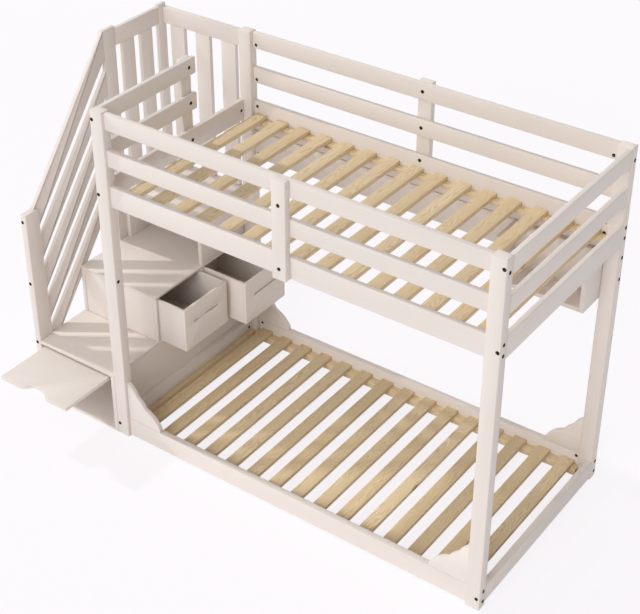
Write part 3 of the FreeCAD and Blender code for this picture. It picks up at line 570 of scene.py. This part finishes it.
def brushed_paint():
    """Water-based satin paint, brushed on planed pine.

    To the eye: an even, slightly warm off-white with a soft sheen; fibres and
    brush marks show faintly along each board, and rubbed edges look warmer.
    """
    finish = bpy.context.scene.bunk_bed_finish
    made, tree, shader = blank("brushed_satin_paint_on_pine")
    tone = add(tree, "ShaderNodeAttribute", attribute_name="tone").outputs["Fac"]
    edge = add(tree, "ShaderNodeAttribute", attribute_name="eased").outputs["Fac"]
    grain = fibres(tree, 220 * MM, 6 * MM, 4)
    brush = fibres(tree, 90 * MM, 2.5 * MM, 3)
    cloud = fibres(tree, 500 * MM, 160 * MM, 2)
    darker = tuple(0.93 * c for c in finish.paint)
    base = mixed(tree, ranged(tree, tone, 0, 1, 0, 0.55), rgba(finish.paint), rgba(darker))
    base = mixed(tree, ranged(tree, cloud, 0.35, 0.7, 0, 0.6), base, rgba(darker))
    base = mixed(tree, ranged(tree, grain, 0.52, 0.75, 0, 0.35), base, rgba(finish.paint_worn))
    wear = ranged(tree, cloud, 0.3, 0.65, 0.15, 0.8)
    rubbed = add(tree, "ShaderNodeMath", {0: edge, 1: wear}, operation="MULTIPLY")
    base = mixed(tree, rubbed.outputs[0], base, rgba(finish.paint_worn))
    tree.links.new(base, shader.inputs["Base Color"])
    tree.links.new(ranged(tree, brush, 0.3, 0.7, 0.42, 0.54), shader.inputs["Roughness"])
    relief = add(tree, "ShaderNodeBump", {"Strength": 0.25, "Distance": 0.3 * MM, "Height": grain})
    marks = add(
        tree,
        "ShaderNodeBump",
        {"Strength": 0.2, "Distance": 0.15 * MM, "Height": brush, "Normal": relief.outputs[0]},
    )
    tree.links.new(marks.outputs[0], shader.inputs["Normal"])
    return made


def planed_pine():
    """Pine, planed and left bare.

    To the eye: pale yellow-brown, matt, with late-wood lines along the board
    drawn 9 mm apart so that they show, and boards that differ a little in
    tone. Knots are 11 mm across, fade out by 28 mm and are 2.5 times as long.
    """
    line_pitch = 9 * MM
    knots_per_metre = (2.6, 6.5, 1)
    finish = bpy.context.scene.bunk_bed_finish
    made, tree, shader = blank("planed_bare_pine")
    tone = add(tree, "ShaderNodeAttribute", attribute_name="tone").outputs["Fac"]
    edge = add(tree, "ShaderNodeAttribute", attribute_name="eased").outputs["Fac"]
    place = add(tree, "ShaderNodeUVMap", uv_map="grain")
    wander = fibres(tree, 300 * MM, 60 * MM, 2)
    split = add(tree, "ShaderNodeSeparateXYZ", {0: place.outputs[0]})
    across = add(
        tree,
        "ShaderNodeMath",
        {0: split.outputs["Y"], 1: ranged(tree, wander, 0.2, 0.8, 0, 60 * MM)},
        operation="ADD",
    )
    turns = {0: across.outputs[0], 1: 2 * math.pi / line_pitch}
    rings = add(tree, "ShaderNodeMath", turns, operation="MULTIPLY")
    rings = add(tree, "ShaderNodeMath", {0: rings.outputs[0]}, operation="SINE").outputs[0]
    fine = fibres(tree, 80 * MM, 1.8 * MM, 4)
    light, dark = rgba(finish.pine_light), rgba(finish.pine_dark)
    lines = mixed(tree, ranged(tree, rings, -0.2, 1, 0, 0.75), light, dark)
    lines = mixed(tree, ranged(tree, fine, 0.45, 0.75, 0, 0.45), lines, dark)

    spots = add(tree, "ShaderNodeMapping", {"Vector": place.outputs[0], "Scale": knots_per_metre})
    cells = add(tree, "ShaderNodeTexVoronoi", {"Vector": spots.outputs[0], "Scale": 1.0})
    knot = ranged(tree, cells.outputs["Distance"], 0.035, 0.09, 0.85, 0)
    base = mixed(tree, knot, lines, rgba(finish.pine_knot))
    base = mixed(tree, ranged(tree, tone, 0, 1, 0, 0.4), base, dark)
    base = mixed(tree, ranged(tree, edge, 0, 1, 0, 0.25), base, dark)
    tree.links.new(base, shader.inputs["Base Color"])
    tree.links.new(ranged(tree, fine, 0.3, 0.7, 0.55, 0.7), shader.inputs["Roughness"])
    relief = add(tree, "ShaderNodeBump", {"Strength": 0.3, "Distance": 0.3 * MM, "Height": fine})
    tree.links.new(relief.outputs[0], shader.inputs["Normal"])
    return made


def plated_steel(name, tint, roughness, spread):
    """Plated or bronzed steel: an even metal whose sheen varies in patches a few millimetres wide."""
    patch_size = 6 * MM
    made, tree, shader = blank(name)
    shader.inputs["Metallic"].default_value = 1.0
    place = add(tree, "ShaderNodeTexCoord").outputs["Object"]
    pattern = {"Vector": place, "Scale": 1 / patch_size, "Detail": 2.0}
    patch = add(tree, "ShaderNodeTexNoise", pattern).outputs["Fac"]
    darker = tuple(0.75 * c for c in tint)
    base = mixed(tree, ranged(tree, patch, 0.35, 0.65, 0, 1), rgba(tint), rgba(darker))
    tree.links.new(base, shader.inputs["Base Color"])
    sheen = ranged(tree, patch, 0.3, 0.7, roughness, roughness + spread)
    tree.links.new(sheen, shader.inputs["Roughness"])
    return made


def shown_share(tree):
    """1 for rays of the camera, of reflections and of what is seen through glass, else 0."""
    path = add(tree, "ShaderNodeLightPath").outputs
    direct = {0: path["Is Camera Ray"], 1: path["Is Glossy Ray"]}
    seen = add(tree, "ShaderNodeMath", direct, operation="MAXIMUM")
    through = {0: seen.outputs[0], 1: path["Is Transmission Ray"]}
    return add(tree, "ShaderNodeMath", through, operation="MAXIMUM").outputs[0]


def paper_ground():
    """Seamless white paper: shows its own colour to the camera, and keeps a faint shadow."""
    own_share = 0.85
    stage = bpy.context.scene.bunk_bed_stage
    made, tree, shader = blank("seamless_white_paper")
    shader.inputs["Base Color"].default_value = rgba(stage.ground)
    shader.inputs["Roughness"].default_value = 0.9
    glow = add(tree, "ShaderNodeEmission", {"Color": rgba(stage.ground), "Strength": 1.0})
    share = add(tree, "ShaderNodeMath", {0: shown_share(tree), 1: own_share}, operation="MULTIPLY")
    layers = {0: share.outputs[0], 1: shader.outputs[0], 2: glow.outputs[0]}
    blend = add(tree, "ShaderNodeMixShader", layers)
    output = next(n for n in tree.nodes if n.type == "OUTPUT_MATERIAL")
    tree.links.new(blend.outputs[0], output.inputs["Surface"])
    return made


# ---------------------------------------------------------------- operators
def finish_of(context):
    """The settings of the bed's own surfaces."""
    return context.scene.bunk_bed_finish


def paint():
    """The painted boards' material."""
    return bpy.data.materials["brushed_satin_paint_on_pine"]


class BUNKBED_OT_materials(bpy.types.Operator):
    """Make the paint, the pine and the metals"""

    bl_idname = "bunkbed.materials"
    bl_label = "Materials"

    def execute(self, context):
        finish = finish_of(context)
        brushed_paint()
        planed_pine()
        plated_steel("bronzed_bolt_steel", finish.bolt_steel, 0.38, 0.2)
        plated_steel("black_zinc_plate", finish.zinc, 0.4, 0.15)
        plated_steel("satin_nickel_plate", finish.nickel, 0.28, 0.12)
        return {"FINISHED"}


class BUNKBED_OT_posts(bpy.types.Operator):
    """Make the four corner posts, with rounded long edges"""

    bl_idname = "bunkbed.posts"
    bl_label = "Posts"

    def execute(self, context):
        for node in POSTS:
            rebuild(node, finish_of(context).post_edge, paint(), "painted_wood")
        return {"FINISHED"}


class BUNKBED_OT_rails(bpy.types.Operator):
    """Make the side and end rails of both decks"""

    bl_idname = "bunkbed.rails"
    bl_label = "Rails"

    def execute(self, context):
        for node in RAILS:
            rebuild(node, finish_of(context).board_edge, paint(), "painted_wood")
        return {"FINISHED"}


class BUNKBED_OT_guards(bpy.types.Operator):
    """Make the guard boards of the upper deck and their battens"""

    bl_idname = "bunkbed.guards"
    bl_label = "Bed guards"

    def execute(self, context):
        for node in BED_GUARDS:
            rebuild(node, finish_of(context).board_edge, paint(), "painted_wood")
        return {"FINISHED"}


class BUNKBED_OT_slats(bpy.types.Operator):
    """Make the pine slats and the cleats that carry them"""

    bl_idname = "bunkbed.slats"
    bl_label = "Slats"

    def execute(self, context):
        pine = bpy.data.materials["planed_bare_pine"]
        for node in SLATS:
            rebuild(node, finish_of(context).slat_edge, pine, "raw_pine")
        return {"FINISHED"}


class BUNKBED_OT_brackets(bpy.types.Operator):
    """Make the cloud-shaped corner brackets of the lower deck"""

    bl_idname = "bunkbed.brackets"
    bl_label = "Corner brackets"

    def execute(self, context):
        reshape("lower_corner_brackets", 1, finish_of(context).board_edge, 0, paint())
        return {"FINISHED"}


class BUNKBED_OT_rear_shelf(bpy.types.Operator):
    """Make the rear board and the shelf box in its corner"""

    bl_idname = "bunkbed.rear_shelf"
    bl_label = "Rear board and shelf box"

    def execute(self, context):
        for node in REAR_SHELF:
            rebuild(node, finish_of(context).board_edge, paint(), "painted_wood")
        return {"FINISHED"}


class BUNKBED_OT_stairs(bpy.types.Operator):
    """Make the stairs' sides, treads, backs and shelves"""

    bl_idname = "bunkbed.stairs"
    bl_label = "Stairs"

    def execute(self, context):
        cut = finish_of(context).board_edge
        for node in STAIR_BOARDS:
            rebuild(node, cut, paint(), "painted_wood")
        for node in ("stair_side_left", "stair_side_right"):
            reshape(node, 0, cut, 1, paint())
        reshape("tread", 2, cut, 0, paint())
        return {"FINISHED"}


class BUNKBED_OT_stair_guards(bpy.types.Operator):
    """Make the newel, the guard posts, the sloped bars and the landing's panels"""

    bl_idname = "bunkbed.stair_guards"
    bl_label = "Stair guards"

    def execute(self, context):
        cut = finish_of(context).board_edge
        for node in GUARD_BOARDS:
            rebuild(node, cut, paint(), "painted_wood")
        for node in ("guard_bars", "sloped_top_rail"):
            reshape(node, 0, cut, 2, paint())
        return {"FINISHED"}


class BUNKBED_OT_drawers(bpy.types.Operator):
    """Make the two drawers, each with a slotted front, three walls and a base"""

    bl_idname = "bunkbed.drawers"
    bl_label = "Drawers"

    def execute(self, context):
        finish = finish_of(context)
        cut = finish.drawer_edge
        wall = finish.drawer_wall
        base = finish.drawer_base
        for name in ("drawer_1", "drawer_2"):
            front = slotted(solids(f"{name}_front")[0][0], 0, cut, 1)
            piece(f"{name}_front_wood", name, [front], paint(), "painted_wood", f"{name}_front")
            low, high = (np.array(corner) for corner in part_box(f"{name}_box"))
            inner_low = low + [wall, wall, 0]
            inner_high = high - [0, wall, 0]
            walls = [
                board(low, (high[0], inner_low[1], high[2]), cut),
                board((low[0], inner_high[1], low[2]), high, cut),
                board((low[0], inner_low[1], low[2]), (inner_low[0], inner_high[1], high[2]), cut),
                board(inner_low, (high[0], inner_high[1], low[2] + base), cut),
            ]
            piece(f"{name}_box_wood", name, walls, paint(), "painted_wood", f"{name}_box")
        return {"FINISHED"}


class BUNKBED_OT_door(bpy.types.Operator):
    """Make the compartment's door and finish its hinge pins"""

    bl_idname = "bunkbed.door"
    bl_label = "Door and hinge pins"

    def execute(self, context):
        reshape("compartment_door", 2, finish_of(context).drawer_edge, 0, paint())
        pins = frame["nodes"]["hinge_pins"].data
        pins.materials.clear()
        pins.materials.append(bpy.data.materials["satin_nickel_plate"])
        return {"FINISHED"}


class BUNKBED_OT_bolts(bpy.types.Operator):
    """Make the bolts' socket heads and the barrel nuts' slotted ends"""

    bl_idname = "bunkbed.bolts"
    bl_label = "Bolts and nuts"

    def execute(self, context):
        finish = finish_of(context)
        seats, ways = [], []
        for points, _ in solids("frame_bolts"):
            low, high = points.min(axis=0), points.max(axis=0)
            axis = int((high - low).argmax())
            middle = (low + high) / 2
            off = np.delete(points - middle, axis, axis=1)
            wide = points[np.linalg.norm(off, axis=1) > SHANK_REACH][:, axis]
            sign = 1.0 if wide.mean() > middle[axis] else -1.0
            middle[axis] = high[axis] if sign > 0 else low[axis]
            seats.append(middle)
            ways.append(sign * np.eye(3)[axis])
        seats.append(np.array(LANDING_SCREW))
        ways.append(np.array([1.0, 0.0, 0.0]))
        bronze = bpy.data.materials["bronzed_bolt_steel"]
        size = (finish.bolt_head, finish.bolt_rise, 0.5 * finish.bolt_head)
        shape = heads(np.array(seats), np.array(ways), *size, 6)
        piece("bolt_heads", "frame", [shape], bronze, "bolt_steel", "frame_bolts")

        faces = np.array([corner for node in RAILS + BED_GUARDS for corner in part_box(node)])
        seats, ways = [], []
        for points, _ in solids("barrel_nuts"):
            low, high = points.min(axis=0), points.max(axis=0)
            middle = (low + high) / 2
            axis = 0 if high[0] - low[0] > high[1] - low[1] else 1
            at_high = np.abs(faces[:, axis] - high[axis]).min() < np.abs(faces[:, axis] - low[axis]).min()
            middle[axis] = high[axis] if at_high else low[axis]
            seats.append(middle)
            ways.append((1.0 if at_high else -1.0) * np.eye(3)[axis])
        zinc = bpy.data.materials["black_zinc_plate"]
        size = (finish.nut_face, finish.nut_rise, 0.5 * finish.nut_face)
        shape = heads(np.array(seats), np.array(ways), *size, 4)
        piece("barrel_nut_ends", "frame", [shape], zinc, "zinc_steel", "barrel_nuts")
        return {"FINISHED"}


class BUNKBED_OT_stage(bpy.types.Operator):
    """Make the ground, the lamps, the world and the camera"""

    bl_idname = "bunkbed.stage"
    bl_label = "Stage"

    def execute(self, context):
        stage = context.scene.bunk_bed_stage
        half = stage.ground_size / 2
        mesh = bpy.data.meshes.new("ground")
        corners = [(-half, -half, 0), (half, -half, 0), (half, half, 0), (-half, half, 0)]
        mesh.from_pydata(corners, [], [(0, 1, 2, 3)])
        mesh.materials.append(paper_ground())
        ground = bpy.data.objects.new("ground", mesh)
        context.scene.collection.objects.link(ground)

        # Each lamp: its name, the way its light travels, its strength, its width in degrees.
        for name, travel, strength, angle in (
            ("sun_left", (1.25, 0.05, -1.0), stage.sun_strength, 2.5),
            ("fill_front", (-0.1, 1.0, -0.6), stage.fill_strength, 40),
        ):
            lamp = bpy.data.lights.new(name, "SUN")
            lamp.energy = strength
            lamp.angle = math.radians(angle)
            lit = bpy.data.objects.new(name, lamp)
            lit.rotation_euler = Vector(travel).to_track_quat("-Z", "Y").to_euler()
            context.scene.collection.objects.link(lit)

        world = bpy.data.worlds.new("even_sky")
        context.scene.world = world
        world.use_nodes = True
        tree = world.node_tree
        tree.nodes.clear()
        light = add(tree, "ShaderNodeBackground", {"Color": (1, 1, 1, 1), "Strength": stage.sky_strength})
        shown = add(tree, "ShaderNodeBackground", {"Color": rgba(stage.ground), "Strength": 1.0})
        layers = {0: shown_share(tree), 1: light.outputs[0], 2: shown.outputs[0]}
        both = add(tree, "ShaderNodeMixShader", layers)
        add(tree, "ShaderNodeOutputWorld", {"Surface": both.outputs[0]})

        azimuth = math.radians(CAMERA_AZIMUTH)
        elevation = math.radians(CAMERA_ELEVATION)
        lens = bpy.data.cameras.new("camera")
        lens.sensor_fit = "HORIZONTAL"
        lens.sensor_width = SENSOR_WIDTH
        lens.lens = FOCAL_LENGTH * SENSOR_WIDTH / IMAGE_WIDTH
        lens.shift_x = (IMAGE_WIDTH / 2 - VIEW_CENTRE_X) / IMAGE_WIDTH
        lens.shift_y = (VIEW_CENTRE_Y - IMAGE_HEIGHT / 2) / IMAGE_WIDTH
        lens.clip_end = 200
        camera = bpy.data.objects.new("camera", lens)
        back = Vector(
            (
                math.sin(azimuth) * math.cos(elevation),
                -math.cos(azimuth) * math.cos(elevation),
                math.sin(elevation),
            )
        )
        camera.matrix_world = (
            Matrix.Translation(CAMERA_PLACE)
            @ (-back).to_track_quat("-Z", "Y").to_matrix().to_4x4()
            @ Matrix.Rotation(math.radians(CAMERA_ROLL), 4, "Z")
        )
        context.scene.collection.objects.link(camera)
        context.scene.camera = camera
        context.scene.view_settings.view_transform = "Standard"
        return {"FINISHED"}


MAKERS = (
    BUNKBED_OT_materials,
    BUNKBED_OT_posts,
    BUNKBED_OT_rails,
    BUNKBED_OT_guards,
    BUNKBED_OT_slats,
    BUNKBED_OT_brackets,
    BUNKBED_OT_rear_shelf,
    BUNKBED_OT_stairs,
    BUNKBED_OT_stair_guards,
    BUNKBED_OT_drawers,
    BUNKBED_OT_door,
    BUNKBED_OT_bolts,
    BUNKBED_OT_stage,
)


class BUNKBED_PT_panel(bpy.types.Panel):
    """Sidebar panel with the sizes, the colours and the makers"""

    bl_idname = "BUNKBED_PT_panel"
    bl_label = "Bunk bed"
    bl_space_type = "VIEW_3D"
    bl_region_type = "UI"
    bl_category = "Bunk bed"

    def draw(self, context):
        for settings in (context.scene.bunk_bed_finish, context.scene.bunk_bed_stage):
            box = self.layout.box()
            for name in settings.bl_rna.properties.keys():
                if name not in ("rna_type", "name"):
                    box.prop(settings, name)
        for maker in MAKERS:
            self.layout.operator(maker.bl_idname)


CLASSES = (BunkBedFinish, BunkBedStage, *MAKERS, BUNKBED_PT_panel)


def register():
    """Register the classes and hang the settings on the scene."""
    for kind in CLASSES:
        bpy.utils.register_class(kind)
    bpy.types.Scene.bunk_bed_finish = PointerProperty(type=BunkBedFinish)
    bpy.types.Scene.bunk_bed_stage = PointerProperty(type=BunkBedStage)


def unregister():
    """Take the settings and the classes away again."""
    del bpy.types.Scene.bunk_bed_stage
    del bpy.types.Scene.bunk_bed_finish
    for kind in reversed(CLASSES):
        bpy.utils.unregister_class(kind)


def main():
    """Make everything in order."""
    register()
    for maker in MAKERS:
        group, name = maker.bl_idname.split(".")
        getattr(getattr(bpy.ops, group), name)()


if __name__ == "__main__":
    main()
